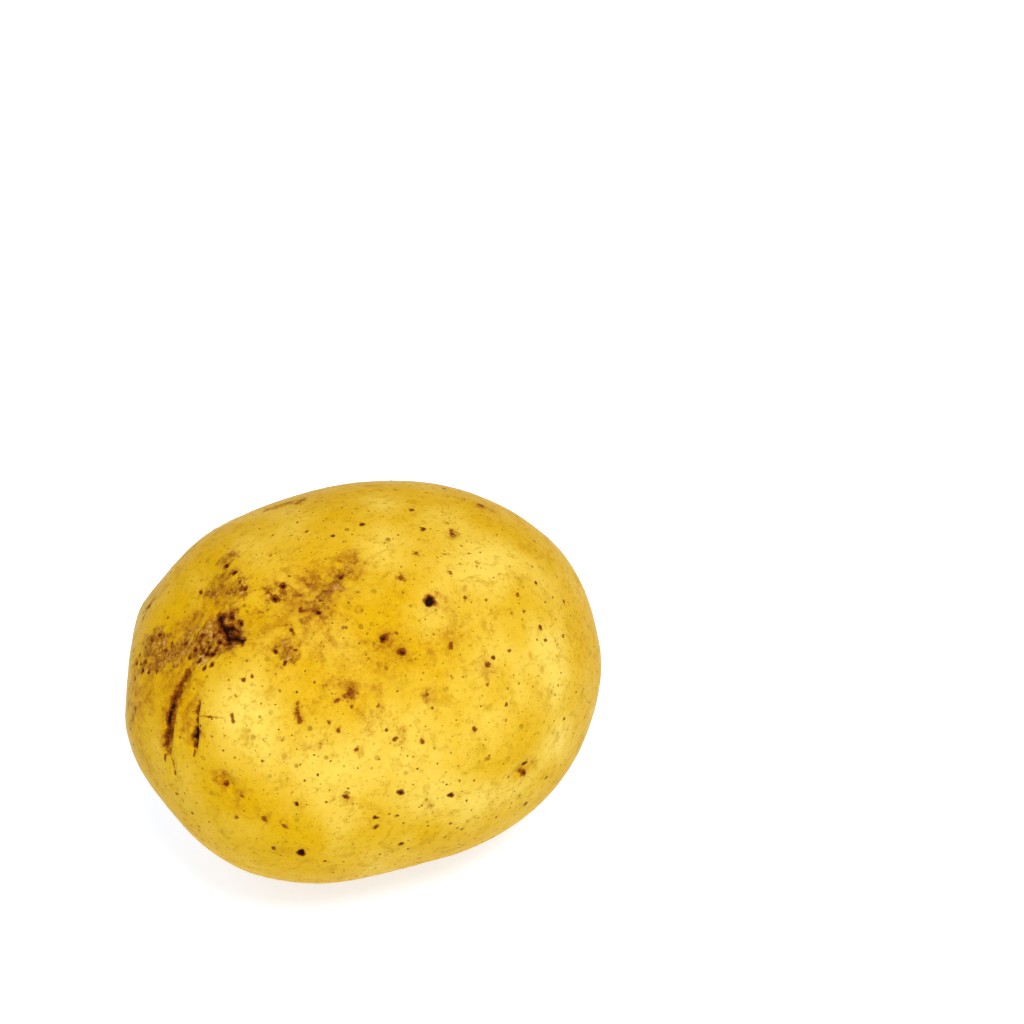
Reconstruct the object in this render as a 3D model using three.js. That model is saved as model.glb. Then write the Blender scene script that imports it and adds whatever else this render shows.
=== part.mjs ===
// A yellow-skinned table potato: one plump, slightly lopsided tuber, lying on a small flat spot.
// Millimetres, +Z up. +X runs along the tuber, from its rose end at -X, where the eyes crowd, to its stem
// end at +X. The origin is on the ground, under the middle of the tuber.

import * as THREE from "three";

const degrees = THREE.MathUtils.degToRad;

// The tuber shows its broad side upwards and to the front left. It is shaped as that side is seen, in
// axes of its own: right, up and towards the eye.
const SIGHT_TURN = degrees(-42);
const SIGHT_TILT = degrees(33);
const RIGHT = new THREE.Vector3(Math.cos(SIGHT_TURN), Math.sin(SIGHT_TURN), 0);
const TOWARDS = new THREE.Vector3(0, -Math.cos(SIGHT_TILT), Math.sin(SIGHT_TILT))
  .applyAxisAngle(new THREE.Vector3(0, 0, 1), SIGHT_TURN);
const UP = new THREE.Vector3().crossVectors(TOWARDS, RIGHT);

// The outline of the broad side: its radius every 15 degrees, anticlockwise from the right.
const OUTLINE = [
  44.6, 44.6, 44.6, 42.1, 40.1, 37.8, 36.4, 36.0, 36.4, 39.1, 40.4, 42.2,
  41.7, 43.4, 40.9, 40.8, 39.3, 37.3, 35.0, 34.3, 36.0, 38.3, 40.8, 42.5,
];
const DEPTH_TOWARDS = 37;
const DEPTH_AWAY = 37;
const FULLNESS = 2.15; // 2 is an ellipsoid, and more is boxier
const LEAN_RIGHT = -0.196; // the outline's plane falls back this far for each mm to the right
const LEAN_UP = -0.171; // and this far for each mm up

// The spot that it lies on: how far the tuber is pressed in, and how softly the flat meets the round.
const FLAT_PRESS = 1.6;
const FLAT_SOFTNESS = 0.6;

// Places on the skin are given as they are seen: mm right and up of the middle, then 1 for the broad
// side and -1 for the hidden one.

// Broad swells and hollows: place, reach and height.
const SWELLS = [
  { at: [-24.5, -5.5, 1], reach: 9, height: 1.3 }, // the brow behind the long crease
  { at: [-31, 9, 1], reach: 8, height: -1.0 }, // the scurfy hollow above that brow
  { at: [-40, -4, 1], reach: 7, height: 0.5 },
  { at: [0, 28, 1], reach: 10, height: 0.4 },
  { at: [22, 14, 1], reach: 15, height: 0.8 },
  { at: [24, -6, 1], reach: 13, height: 0.6 },
  { at: [7, -4, 1], reach: 11, height: -0.5 },
  { at: [9, -24, 1], reach: 9, height: -0.4 },
  { at: [28, -18, 1], reach: 8, height: -0.7 },
  { at: [-39.6, 14.4, 1], reach: 5, height: 0.75 },
  { at: [-43.2, 3.7, 1], reach: 4, height: -0.2 },
  { at: [-43.4, -5.7, 1], reach: 4, height: 0.35 },
  { at: [-22.2, -34.8, 1], reach: 5, height: 0.35 },
  { at: [-10, 10, -1], reach: 18, height: 1.0 },
  { at: [20, 8, -1], reach: 12, height: -0.9 },
  { at: [-22, -14, -1], reach: 13, height: -0.8 },
];

// Eyes: place, the brow's facing in degrees, half the brow's span, the bowl's depth, the brow's height.
const EYES = [
  { at: [-22.8, 8.6, 1], faces: 150, span: 4.0, depth: 1.1, brow: 0.35 },
  { at: [-23.4, -16.3, 1], faces: 200, span: 2.5, depth: 0.7, brow: 0.2 },
  { at: [27.3, -17.1, 1], faces: 320, span: 2.6, depth: 0.8, brow: 0.25 },
  { at: [-3, 18.9, 1], faces: 95, span: 3.2, depth: 0.5, brow: 0.2 },
  { at: [-33, 6, -1], faces: 170, span: 5.0, depth: 1.6, brow: 0.6 },
  { at: [-12, -16, -1], faces: 215, span: 5.5, depth: 1.8, brow: 0.7 },
  { at: [-2, 15, -1], faces: 140, span: 5.5, depth: 1.9, brow: 0.7 },
  { at: [18, -8, -1], faces: 180, span: 6.0, depth: 1.7, brow: 0.6 },
  { at: [24, 20, -1], faces: 120, span: 5.0, depth: 1.4, brow: 0.5 },
];

// What all eyes share, as shares of the brow's half span.
const BROW_AHEAD = 0.62;
const BROW_BEND = 0.53;
const BROW_WIDTH = 0.3;
const BOWL_REACH = 0.5;
const BOWL_STRETCH = 1.6; // a bowl is this much longer along its brow than across it
const EYE_LIMIT = 3; // an eye shapes the skin only this close to it

// Creases: the path along the bottom of each, how wide and deep it is, and the lip on its right.
const CREASES = [
  {
    path: [[-29.2, 2.3, 1], [-31.4, -1.3, 1], [-32.6, -5.5, 1], [-33.3, -8.8, 1], [-33.9, -11.9, 1]],
    width: 0.9, depth: 1.1, lip: 0.4,
  },
  { path: [[-32.9, -10.8, 1], [-32.7, -12.6, 1], [-32.8, -15.6, 1]], width: 0.6, depth: 0.35, lip: 0.1 },
  {
    path: [[-27.2, -2, 1], [-27.9, -5.4, 1], [-28.2, -8.6, 1], [-28.7, -11.8, 1]],
    width: 0.6, depth: 0.65, lip: 0.05,
  },
  {
    path: [[-39.5, 4, 1], [-31.9, 7, 1], [-25, 7.8, 1], [-18, 11.4, 1], [-11.9, 14.8, 1], [-5, 17, 1]],
    width: 3.6, depth: 0.75, lip: 0,
  },
  { path: [[8, -23, -1], [14, -20, -1], [20, -19, -1]], width: 1.2, depth: 0.6, lip: 0.2 },
];

// Where a crease's lip lies and how wide it is, as shares of the crease's width.
const LIP_PLACE = 1.9;
const LIP_WIDTH = 1.2;

// Sunken corky specks that are large enough to feel: place, radius and depth.
const PITS = [
  { at: [11.7, 12.9, 1], radius: 1.2, depth: 0.9 },
  { at: [-11.4, -28.8, 1], radius: 0.9, depth: 0.5 },
  { at: [3.8, 7.1, 1], radius: 0.8, depth: 0.35 },
  { at: [6.7, 4.5, 1], radius: 0.8, depth: 0.3 },
  { at: [16.5, 25, 1], radius: 1.0, depth: 0.35 },
  { at: [-2.2, -1.9, 1], radius: 1.1, depth: 0.4 },
  { at: [-20, 22, -1], radius: 1.1, depth: 0.6 },
  { at: [4, -27, -1], radius: 1.2, depth: 0.7 },
  { at: [33, 1, -1], radius: 0.9, depth: 0.5 },
];

// The stem scar: a shallow dish with a raised corky rim, on the end away from the eyes.
const SCAR = { at: [38, 6, -1], radius: 4.2, rim: 0.5, rimWidth: 1.3, depth: 1.5, dishReach: 2.6 };

const START_DETAIL = 10; // how often the sphere that the skin starts from is divided
const PLAIN_EDGE = 3.4; // length of the mesh's edges on plain skin
const FINE_EDGE = 0.5; // and in the smallest creases and pits
const EDGE_GROWTH = 0.36; // how fast they lengthen with distance from those
const SPLIT_ABOVE = 1.35; // an edge this many times too long is split

// Fine faces: how far they reach round a feature and how long their edges are, as shares of its size.
const FINE_EYE = { reach: 0.9, edge: 0.24 };
const FINE_CREASE = { reach: 2.2, edge: 0.75 };
const FINE_PIT = { reach: 1.4, edge: 0.5 };
const FINE_SCAR = { reach: 1.4, edge: 0.3 };

// A smooth closed curve by angle, through even steps, as a uniform cubic B-spline.
function outlineRadius(angle) {
  const along = (THREE.MathUtils.euclideanModulo(angle, 2 * Math.PI) / (2 * Math.PI)) * OUTLINE.length;
  const step = Math.floor(along);
  const t = along - step;
  const weights = [(1 - t) ** 3, 3 * t ** 3 - 6 * t ** 2 + 4, -3 * t ** 3 + 3 * t ** 2 + 3 * t + 1, t ** 3];
  return weights.reduce((sum, weight, i) => {
    const radius = OUTLINE[(step + i - 1 + OUTLINE.length) % OUTLINE.length];
    return sum + (weight * radius) / 6;
  }, 0);
}

// The bare body's surface in one direction from its middle.
function bodyPoint(direction) {
  const across = Math.hypot(direction.x, direction.y) / outlineRadius(Math.atan2(direction.y, direction.x));
  const depth = Math.abs(direction.z) / (direction.z > 0 ? DEPTH_TOWARDS : DEPTH_AWAY);
  return direction.clone().multiplyScalar((across ** FULLNESS + depth ** FULLNESS) ** (-1 / FULLNESS));
}

// The bare body's surface at a place given as it is seen.
function skinPoint([right, up, side]) {
  const across = Math.hypot(right, up) / outlineRadius(Math.atan2(up, right));
  const depth = (1 - Math.min(across, 1) ** FULLNESS) ** (1 / FULLNESS);
  return new THREE.Vector3(right, up, side * depth * (side > 0 ? DEPTH_TOWARDS : DEPTH_AWAY));
}

const bell = (distance, reach) => Math.exp(-((distance / reach) ** 2));

// Height of a round swell, hollow or pit at a point.
function dimpleHeight(point, { at, reach, height }) {
  return height * bell(point.distanceTo(skinPoint(at)), reach);
}

// Height of an eye at a point: a bowl, with an arched brow on the side that it faces.
function eyeHeight(point, { at, faces, span, depth, brow }) {
  const middle = skinPoint(at);
  const outwards = middle.clone().normalize();
  const facing = new THREE.Vector3(Math.cos(degrees(faces)), Math.sin(degrees(faces)), 0)
    .projectOnPlane(outwards).normalize();
  const offset = point.clone().sub(middle);
  if (offset.length() > EYE_LIMIT * span) {
    return 0;
  }
  const ahead = offset.dot(facing) / span;
  const aside = offset.dot(outwards.cross(facing)) / span;
  const bowl = bell(Math.hypot(aside / BOWL_STRETCH, ahead), BOWL_REACH);
  const ridge = bell(ahead - BROW_AHEAD + BROW_BEND * aside ** 2, BROW_WIDTH) * bell(aside, 1);
  return brow * ridge - depth * bowl;
}

// Height of a crease at a point: a groove that fades towards its ends, with a lip on its right.
function creaseHeight(point, { path, width, depth, lip }) {
  const bends = path.map(skinPoint);
  let nearest = Infinity;
  let height = 0;
  for (let i = 0; i + 1 < bends.length; i++) {
    const run = bends[i + 1].clone().sub(bends[i]);
    const offset = point.clone().sub(bends[i]);
    const share = THREE.MathUtils.clamp(offset.dot(run) / run.lengthSq(), 0, 1);
    const across = offset.addScaledVector(run, -share);
    const distance = across.length() / width;
    if (distance < nearest) {
      nearest = distance;
      const fade = Math.sin((Math.PI * (i + share)) / (bends.length - 1)) ** 0.5;
      const onLip = bell(Math.sign(across.x) * distance - LIP_PLACE, LIP_WIDTH);
      height = fade * (lip * onLip - depth * bell(distance, 1));
    }
  }
  return height;
}

// Height of the stem scar at a point.
function scarHeight(point) {
  const distance = point.distanceTo(skinPoint(SCAR.at));
  const dish = SCAR.depth * bell(distance, SCAR.dishReach);
  return SCAR.rim * bell(distance - SCAR.radius, SCAR.rimWidth) - dish;
}

// How far the skin stands out of the bare body at a point.
function relief(point) {
  const pits = PITS.map(({ at, radius, depth }) => ({ at, reach: radius, height: -depth }));
  const heights = [
    scarHeight(point),
    ...[...SWELLS, ...pits].map((dimple) => dimpleHeight(point, dimple)),
    ...EYES.map((eye) => eyeHeight(point, eye)),
    ...CREASES.map((crease) => creaseHeight(point, crease)),
  ];
  return heights.reduce((sum, height) => sum + height);
}

// From the axes of the broad side to the part's own, with the outline's plane leaning back.
function placed(point) {
  const lean = LEAN_RIGHT * point.x + LEAN_UP * point.y;
  return new THREE.Vector3()
    .addScaledVector(RIGHT, point.x)
    .addScaledVector(UP, point.y)
    .addScaledVector(TOWARDS, point.z + lean);
}

function skinAt(direction) {
  const body = bodyPoint(direction);
  return placed(body.addScaledVector(direction, relief(body)));
}

function finePlace(at, size, { reach, edge }) {
  return { middle: skinPoint(at), reach: reach * size, edge: Math.max(edge * size, FINE_EDGE) };
}

const FINE_PLACES = [
  ...EYES.map(({ at, span }) => finePlace(at, span, FINE_EYE)),
  ...CREASES.flatMap(({ path, width }) => path.map((at) => finePlace(at, width, FINE_CREASE))),
  ...PITS.map(({ at, radius }) => finePlace(at, radius, FINE_PIT)),
  finePlace(SCAR.at, SCAR.radius, FINE_SCAR),
];

function edgeWanted(direction) {
  const body = bodyPoint(direction);
  const wanted = FINE_PLACES.map(({ middle, reach, edge }) => {
    const beyond = Math.max(0, body.distanceTo(middle) - reach);
    return edge + EDGE_GROWTH * beyond;
  });
  return Math.min(PLAIN_EDGE, ...wanted);
}

// Splits every edge that is longer than the skin there wants, and the faces on both sides of it.
function refined(directions, faces) {
  const skin = directions.map(skinAt);
  const middles = new Map();
  const middleOf = (a, b) => {
    const key = Math.min(a, b) * directions.length + Math.max(a, b);
    if (!middles.has(key)) {
      const middle = directions[a].clone().add(directions[b]).normalize();
      const long = skin[a].distanceTo(skin[b]) > edgeWanted(middle) * SPLIT_ABOVE;
      middles.set(key, long ? middle : null);
    }
    return middles.get(key);
  };
  const added = new Map();
  const indexOf = (middle) => {
    if (!added.has(middle)) {
      added.set(middle, directions.length + added.size);
    }
    return added.get(middle);
  };
  const split = faces.flatMap(([a, b, c]) => {
    const [ab, bc, ca] = [middleOf(a, b), middleOf(b, c), middleOf(c, a)].map((m) => m && indexOf(m));
    if (ab && bc && ca) {
      return [[a, ab, ca], [ab, b, bc], [ca, bc, c], [ab, bc, ca]];
    }
    const ring = [a, ab, b, bc, c, ca].filter((corner) => corner !== null);
    const first = Math.max(0, ring.findIndex((corner) => corner >= directions.length));
    const fan = [...ring.slice(first), ...ring.slice(0, first)];
    return fan.slice(1, -1).map((corner, i) => [fan[0], corner, fan[i + 2]]);
  });
  return [[...directions, ...added.keys()], split];
}

// Even directions over a sphere, with the faces between them.
function sphere(detail) {
  const corners = new THREE.IcosahedronGeometry(1, detail).getAttribute("position");
  const indices = new Map();
  const directions = [];
  const faces = [];
  for (let i = 0; i < corners.count; i++) {
    const corner = new THREE.Vector3().fromBufferAttribute(corners, i);
    const key = corner.toArray().map((value) => value.toFixed(4)).join();
    if (!indices.has(key)) {
      indices.set(key, directions.length);
      directions.push(corner.normalize());
    }
    if (i % 3 === 0) {
      faces.push([]);
    }
    faces.at(-1).push(indices.get(key));
  }
  return [directions, faces];
}

// Presses the lowest skin level with the ground, with a soft edge round the flat.
function pressed(height) {
  if (height >= FLAT_SOFTNESS) {
    return height;
  }
  return height <= -FLAT_SOFTNESS ? 0 : (height + FLAT_SOFTNESS) ** 2 / (4 * FLAT_SOFTNESS);
}

function tuber() {
  let [directions, faces] = sphere(START_DETAIL);
  let before = 0;
  while (faces.length > before) {
    before = faces.length;
    [directions, faces] = refined(directions, faces);
  }
  const skin = directions.map(skinAt);
  const ground = Math.min(...skin.map((point) => point.z)) + FLAT_PRESS;
  const heights = skin.map((point) => pressed(point.z - ground));
  const geometry = new THREE.BufferGeometry();
  geometry.setAttribute("position", new THREE.Float32BufferAttribute(
    skin.flatMap((point, i) => [point.x, point.y, heights[i]]), 3));
  geometry.setIndex(faces.flat());
  geometry.computeBoundingBox();
  const middle = geometry.boundingBox.getCenter(new THREE.Vector3());
  geometry.translate(-middle.x, -middle.y, 0);
  geometry.computeVertexNormals();
  return geometry;
}

const skinMaterial = new THREE.MeshStandardMaterial({ color: 0xdfb22c, roughness: 0.55, metalness: 0 });
const potato = new THREE.Mesh(tuber(), skinMaterial);
potato.name = "potato";

const part = new THREE.Group();
part.add(potato);

export default part;
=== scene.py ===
# The looks of a yellow-skinned table potato that lies on a plain pale floor.
# The tuber's form repeats the solid's own values, in millimetres. Blender's objects are in metres, +Z up.

from math import asin, atan, cos, hypot, pi, radians, sin, sqrt

import bmesh
import bpy
import numpy as np
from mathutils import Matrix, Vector, noise
from mathutils.bvhtree import BVHTree


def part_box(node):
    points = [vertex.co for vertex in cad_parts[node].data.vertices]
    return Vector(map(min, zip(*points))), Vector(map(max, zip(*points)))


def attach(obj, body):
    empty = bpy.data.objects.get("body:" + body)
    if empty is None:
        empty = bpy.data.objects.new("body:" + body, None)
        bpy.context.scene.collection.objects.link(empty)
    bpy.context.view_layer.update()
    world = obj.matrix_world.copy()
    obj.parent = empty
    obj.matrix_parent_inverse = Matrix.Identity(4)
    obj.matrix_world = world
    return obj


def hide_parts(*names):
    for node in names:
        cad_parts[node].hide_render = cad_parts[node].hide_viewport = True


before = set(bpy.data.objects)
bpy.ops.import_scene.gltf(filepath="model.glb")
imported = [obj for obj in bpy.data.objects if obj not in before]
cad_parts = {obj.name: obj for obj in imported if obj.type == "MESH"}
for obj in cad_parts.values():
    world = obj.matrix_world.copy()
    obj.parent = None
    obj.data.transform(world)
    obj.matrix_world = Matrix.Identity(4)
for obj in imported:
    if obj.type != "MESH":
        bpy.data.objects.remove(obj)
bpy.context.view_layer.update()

MM = 0.001
NODE = "potato"

# The axes in which the tuber is shaped: right, up and towards the eye.
SIGHT_TURN = radians(-42)
SIGHT_TILT = radians(33)
RIGHT = np.array([cos(SIGHT_TURN), sin(SIGHT_TURN), 0])
TOWARDS = np.array([sin(SIGHT_TURN) * cos(SIGHT_TILT), -cos(SIGHT_TURN) * cos(SIGHT_TILT), sin(SIGHT_TILT)])
UP = np.cross(TOWARDS, RIGHT)
SIGHT_AXES = np.array([RIGHT, UP, TOWARDS])

# The photograph's frame, and what its camera sees of the tuber.
FRAME_PX = 1024
TUBER_MIDDLE_PX = (363, 680)
PX_PER_MM = 5.45
LENS = 100
SENSOR = 36
FOCAL_PX = LENS / SENSOR * FRAME_PX
EYE_DISTANCE = FOCAL_PX / PX_PER_MM

# The outline of the broad side: its radius every 15 degrees, anticlockwise from the right.
OUTLINE = np.array([
    44.6, 44.6, 44.6, 42.1, 40.1, 37.8, 36.4, 36.0, 36.4, 39.1, 40.4, 42.2,
    41.7, 43.4, 40.9, 40.8, 39.3, 37.3, 35.0, 34.3, 36.0, 38.3, 40.8, 42.5,
])
DEPTH = 37  # half the depth, to the eye and away from it
FULLNESS = 2.15  # 2 is an ellipsoid, and more is boxier
LEAN_RIGHT = -0.196  # the outline's plane falls back this far for each mm to the right
LEAN_UP = -0.171  # and this far for each mm up
FLAT_PRESS = 1.6
FLAT_SOFTNESS = 0.6

# Places on the skin are given as they are seen: mm right and up of the middle, then 1 for the broad side
# and -1 for the hidden one.

# Broad swells and hollows: place, reach and height.
SWELLS = [
    ((-24.5, -5.5, 1), 9, 1.3),
    ((-31, 9, 1), 8, -1.0),
    ((-40, -4, 1), 7, 0.5),
    ((0, 28, 1), 10, 0.4),
    ((22, 14, 1), 15, 0.8),
    ((24, -6, 1), 13, 0.6),
    ((7, -4, 1), 11, -0.5),
    ((9, -24, 1), 9, -0.4),
    ((28, -18, 1), 8, -0.7),
    ((-39.6, 14.4, 1), 5, 0.75),
    ((-43.2, 3.7, 1), 4, -0.2),
    ((-43.4, -5.7, 1), 4, 0.35),
    ((-22.2, -34.8, 1), 5, 0.35),
    ((-10, 10, -1), 18, 1.0),
    ((20, 8, -1), 12, -0.9),
    ((-22, -14, -1), 13, -0.8),
]

# Eyes: place, the brow's facing in degrees, half the brow's span, the bowl's depth, the brow's height.
EYES = [
    ((-22.8, 8.6, 1), 150, 4.0, 1.1, 0.35),
    ((-23.4, -16.3, 1), 200, 2.5, 0.7, 0.2),
    ((27.3, -17.1, 1), 320, 2.6, 0.8, 0.25),
    ((-3, 18.9, 1), 95, 3.2, 0.5, 0.2),
    ((-33, 6, -1), 170, 5.0, 1.6, 0.6),
    ((-12, -16, -1), 215, 5.5, 1.8, 0.7),
    ((-2, 15, -1), 140, 5.5, 1.9, 0.7),
    ((18, -8, -1), 180, 6.0, 1.7, 0.6),
    ((24, 20, -1), 120, 5.0, 1.4, 0.5),
]
BROW_AHEAD = 0.62
BROW_BEND = 0.53
BROW_WIDTH = 0.3
BOWL_REACH = 0.5
BOWL_STRETCH = 1.6
EYE_LIMIT = 3
DEEP_EYE_SPAN = 4.5  # eyes from this span on have a dark fold under the brow, and buds
FOLD_AHEAD = 0.2
FOLD_RADIUS = 0.45
FOLD_DARKNESS = 0.75
BUDS = [(0.0, 0.0), (0.05, -0.35), (-0.05, 0.3), (-0.25, 0.05)]
BUD_RADIUS = 0.4

# Creases: the path along the bottom of each, its width, its depth and the lip on its right.
CREASES = [
    (((-29.2, 2.3, 1), (-31.4, -1.3, 1), (-32.6, -5.5, 1), (-33.3, -8.8, 1), (-33.9, -11.9, 1)),
     0.9, 1.1, 0.4),
    (((-32.9, -10.8, 1), (-32.7, -12.6, 1), (-32.8, -15.6, 1)), 0.6, 0.35, 0.1),
    (((-27.2, -2, 1), (-27.9, -5.4, 1), (-28.2, -8.6, 1), (-28.7, -11.8, 1)), 0.6, 0.65, 0.05),
    (((-39.5, 4, 1), (-31.9, 7, 1), (-25, 7.8, 1), (-18, 11.4, 1), (-11.9, 14.8, 1), (-5, 17, 1)),
     3.6, 0.75, 0),
    (((8, -23, -1), (14, -20, -1), (20, -19, -1)), 1.2, 0.6, 0.2),
]
LIP_PLACE = 1.9
LIP_WIDTH = 1.2

# Sunken corky specks that are large enough to feel: place, radius and depth.
PITS = [
    ((11.7, 12.9, 1), 1.2, 0.9),
    ((-11.4, -28.8, 1), 0.9, 0.5),
    ((3.8, 7.1, 1), 0.8, 0.35),
    ((6.7, 4.5, 1), 0.8, 0.3),
    ((16.5, 25, 1), 1.0, 0.35),
    ((-2.2, -1.9, 1), 1.1, 0.4),
    ((-20, 22, -1), 1.1, 0.6),
    ((4, -27, -1), 1.2, 0.7),
    ((33, 1, -1), 0.9, 0.5),
]

# The stem scar: place, radius, the rim's height and width, the dish's depth and reach.
SCAR = ((38, 6, -1), 4.2, 0.5, 1.3, 1.5, 2.6)

# Small marks on the side that shows, by pixel of the photograph: across, down and width.
DARK_PITS = [(429, 602, 8.5), (301, 852, 6.5)]
DARK_SPECKS = [
    (384, 638, 8), (402, 652, 7), (423, 529, 6), (362, 525, 5), (306, 531, 4), (333, 536, 4), (243, 589, 6),
    (168, 618, 3), (540, 628, 5), (487, 665, 5), (475, 730, 5), (356, 750, 4), (401, 792, 7), (376, 818, 5),
    (376, 827, 6), (451, 795, 6), (523, 773, 6), (525, 763, 5), (509, 777, 4), (526, 804, 5), (297, 804, 4),
    (346, 797, 5), (401, 844, 5), (462, 829, 4), (274, 848, 4), (333, 872, 3), (325, 861, 3), (380, 854, 3),
    (193, 813, 3), (177, 794, 3), (262, 761, 3), (226, 783, 5), (564, 719, 4), (535, 583, 3), (493, 657, 4),
    (283, 586, 5), (275, 598, 6), (134, 745, 3), (395, 739, 5), (166, 580, 3), (201, 592, 4), (564, 601, 4),
]
FAINT_SPECKS = [
    (401, 578, 8), (317, 612, 9), (426, 695, 8), (411, 510, 6), (445, 489, 7), (480, 506, 7), (534, 541, 5),
    (523, 587, 4), (517, 595, 5), (466, 598, 5), (523, 611, 4), (563, 636, 5), (451, 644, 8), (509, 650, 5),
    (488, 685, 4), (507, 705, 4), (422, 741, 5), (487, 759, 6), (546, 778, 5), (431, 806, 7), (389, 814, 4),
    (450, 823, 4), (497, 817, 4), (263, 818, 8), (237, 817, 5), (242, 795, 5), (171, 573, 5), (346, 627, 5),
    (396, 633, 5), (416, 554, 7), (449, 573, 6), (291, 631, 6), (136, 708, 5), (131, 729, 4), (545, 640, 4),
    (300, 610, 6), (244, 680, 4), (252, 676, 4), (285, 826, 7), (350, 692, 12), (453, 534, 11),
    (337, 700, 5), (329, 722, 5), (339, 731, 5), (283, 740, 4), (352, 706, 4), (378, 706, 4), (386, 730, 4),
]
RINGS = [(359, 610, 9), (501, 577, 8), (494, 628, 8), (431, 806, 7), (284, 822, 9), (297, 655, 9)]

# Short cracks and scratches there: the path by pixel, its width in pixels, and how dark it is.
CRACKS = [
    (((189, 671), (182, 684), (176, 696), (172, 709), (170, 722), (169, 734), (167, 747)), 8.0, 0.75),
    (((174, 702), (171, 712), (170, 723)), 5.0, 0.95),
    (((169, 737), (167, 744), (166, 750)), 5.0, 0.75),
    (((193, 670), (187, 680), (182, 690)), 1.8, 0.6),
    (((170, 750), (173, 762), (175, 774)), 2.4, 0.6),
    (((165, 755), (165, 761)), 3.0, 0.7),
    (((200, 702), (199, 709), (198, 713)), 4.6, 0.75),
    (((198, 720), (198, 723)), 4.4, 1.0),
    (((198, 730), (197, 737)), 8.0, 1.1),
    (((197, 743), (196, 746)), 4.2, 1.0),
    (((195, 751), (194, 756)), 2.8, 0.65),
    (((200, 716), (211, 717), (223, 718)), 1.8, 0.6),
    (((297, 704), (298, 712), (299, 721)), 6.0, 0.7),
    (((232, 714), (233, 722)), 3.6, 0.6),
    (((160, 716), (170, 717)), 1.6, 0.5),
    (((443, 554), (458, 555), (472, 553)), 1.5, 0.5),
    (((431, 582), (458, 581), (486, 582)), 1.3, 0.5),
    (((219, 619), (224, 627), (229, 636), (230, 643)), 8.0, 1.0),
    (((224, 627), (233, 628), (239, 633)), 5.0, 0.9),
    (((229, 638), (236, 639), (243, 641)), 7.0, 1.0),
    (((205, 634), (200, 642), (202, 652), (209, 655)), 3.0, 0.8),
    (((291, 624), (293, 632)), 2.5, 0.6),
    (((262, 596), (268, 592), (276, 600)), 3.0, 0.6),
]

# Torn and dead skin in the worst of the scurf: across, down and radius in pixels.
TORN = [
    (228, 630, 7), (236, 638, 6), (221, 617, 5), (231, 617, 4), (241, 623, 3), (243, 644, 3), (220, 643, 3),
    (196, 650, 3), (186, 644, 2.5), (214, 636, 2.5), (202, 636, 2.5), (210, 648, 2.5), (200, 660, 3),
    (207, 654, 2.5), (216, 650, 2.5), (152, 640, 2.5), (146, 662, 2.5), (166, 650, 2), (160, 634, 2),
    (172, 644, 2), (190, 658, 2.5), (137, 663, 2), (135, 678, 2.5), (219, 631, 2.5), (213, 655, 3),
    (208, 642, 2), (203, 650, 2), (212, 665, 2.5), (205, 668, 2.5), (245, 589, 2.5), (240, 583, 2),
    (276, 599, 4), (283, 586, 3), (292, 630, 3), (143, 671, 2.5), (157, 672, 2), (140, 655, 2),
    (149, 673, 2), (141, 664, 2), (150, 606, 2), (143, 618, 2.5), (276, 652, 2), (285, 663, 2),
    (296, 650, 2), (318, 613, 3), (341, 577, 3), (320, 600, 2), (227, 566, 3), (235, 573, 2),
]

# Rough brown scurf and smooth brown stains there, with painted shade among the stains along the left end,
# the upper left and the top rim: across, down, radius in pixels, and strength.
SCURF_SEEN = [
    (228, 628, 16, 1.1), (234, 640, 12, 1.0), (212, 646, 15, 1.0), (200, 656, 13, 0.85),
    (205, 630, 12, 0.6), (150, 645, 17, 0.75), (160, 662, 15, 0.7), (143, 672, 10, 0.7),
    (180, 654, 16, 0.6), (165, 636, 14, 0.5), (285, 653, 14, 0.75), (224, 572, 20, 0.5),
    (240, 588, 15, 0.5), (212, 592, 15, 0.42), (341, 577, 12, 0.5), (318, 604, 15, 0.4),
    (300, 588, 16, 0.35), (272, 596, 12, 0.5), (148, 606, 10, 0.6), (160, 592, 8, 0.4), (288, 503, 16, 0.5),
    (266, 510, 13, 0.5), (305, 500, 10, 0.4), (480, 507, 9, 0.4), (401, 580, 10, 0.4), (245, 660, 9, 0.35),
    (350, 566, 12, 0.3), (300, 622, 14, 0.3), (335, 590, 14, 0.35), (228, 556, 10, 0.5),
    (190, 640, 12, 0.45), (235, 606, 12, 0.4), (268, 610, 9, 0.35),
]
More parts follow.
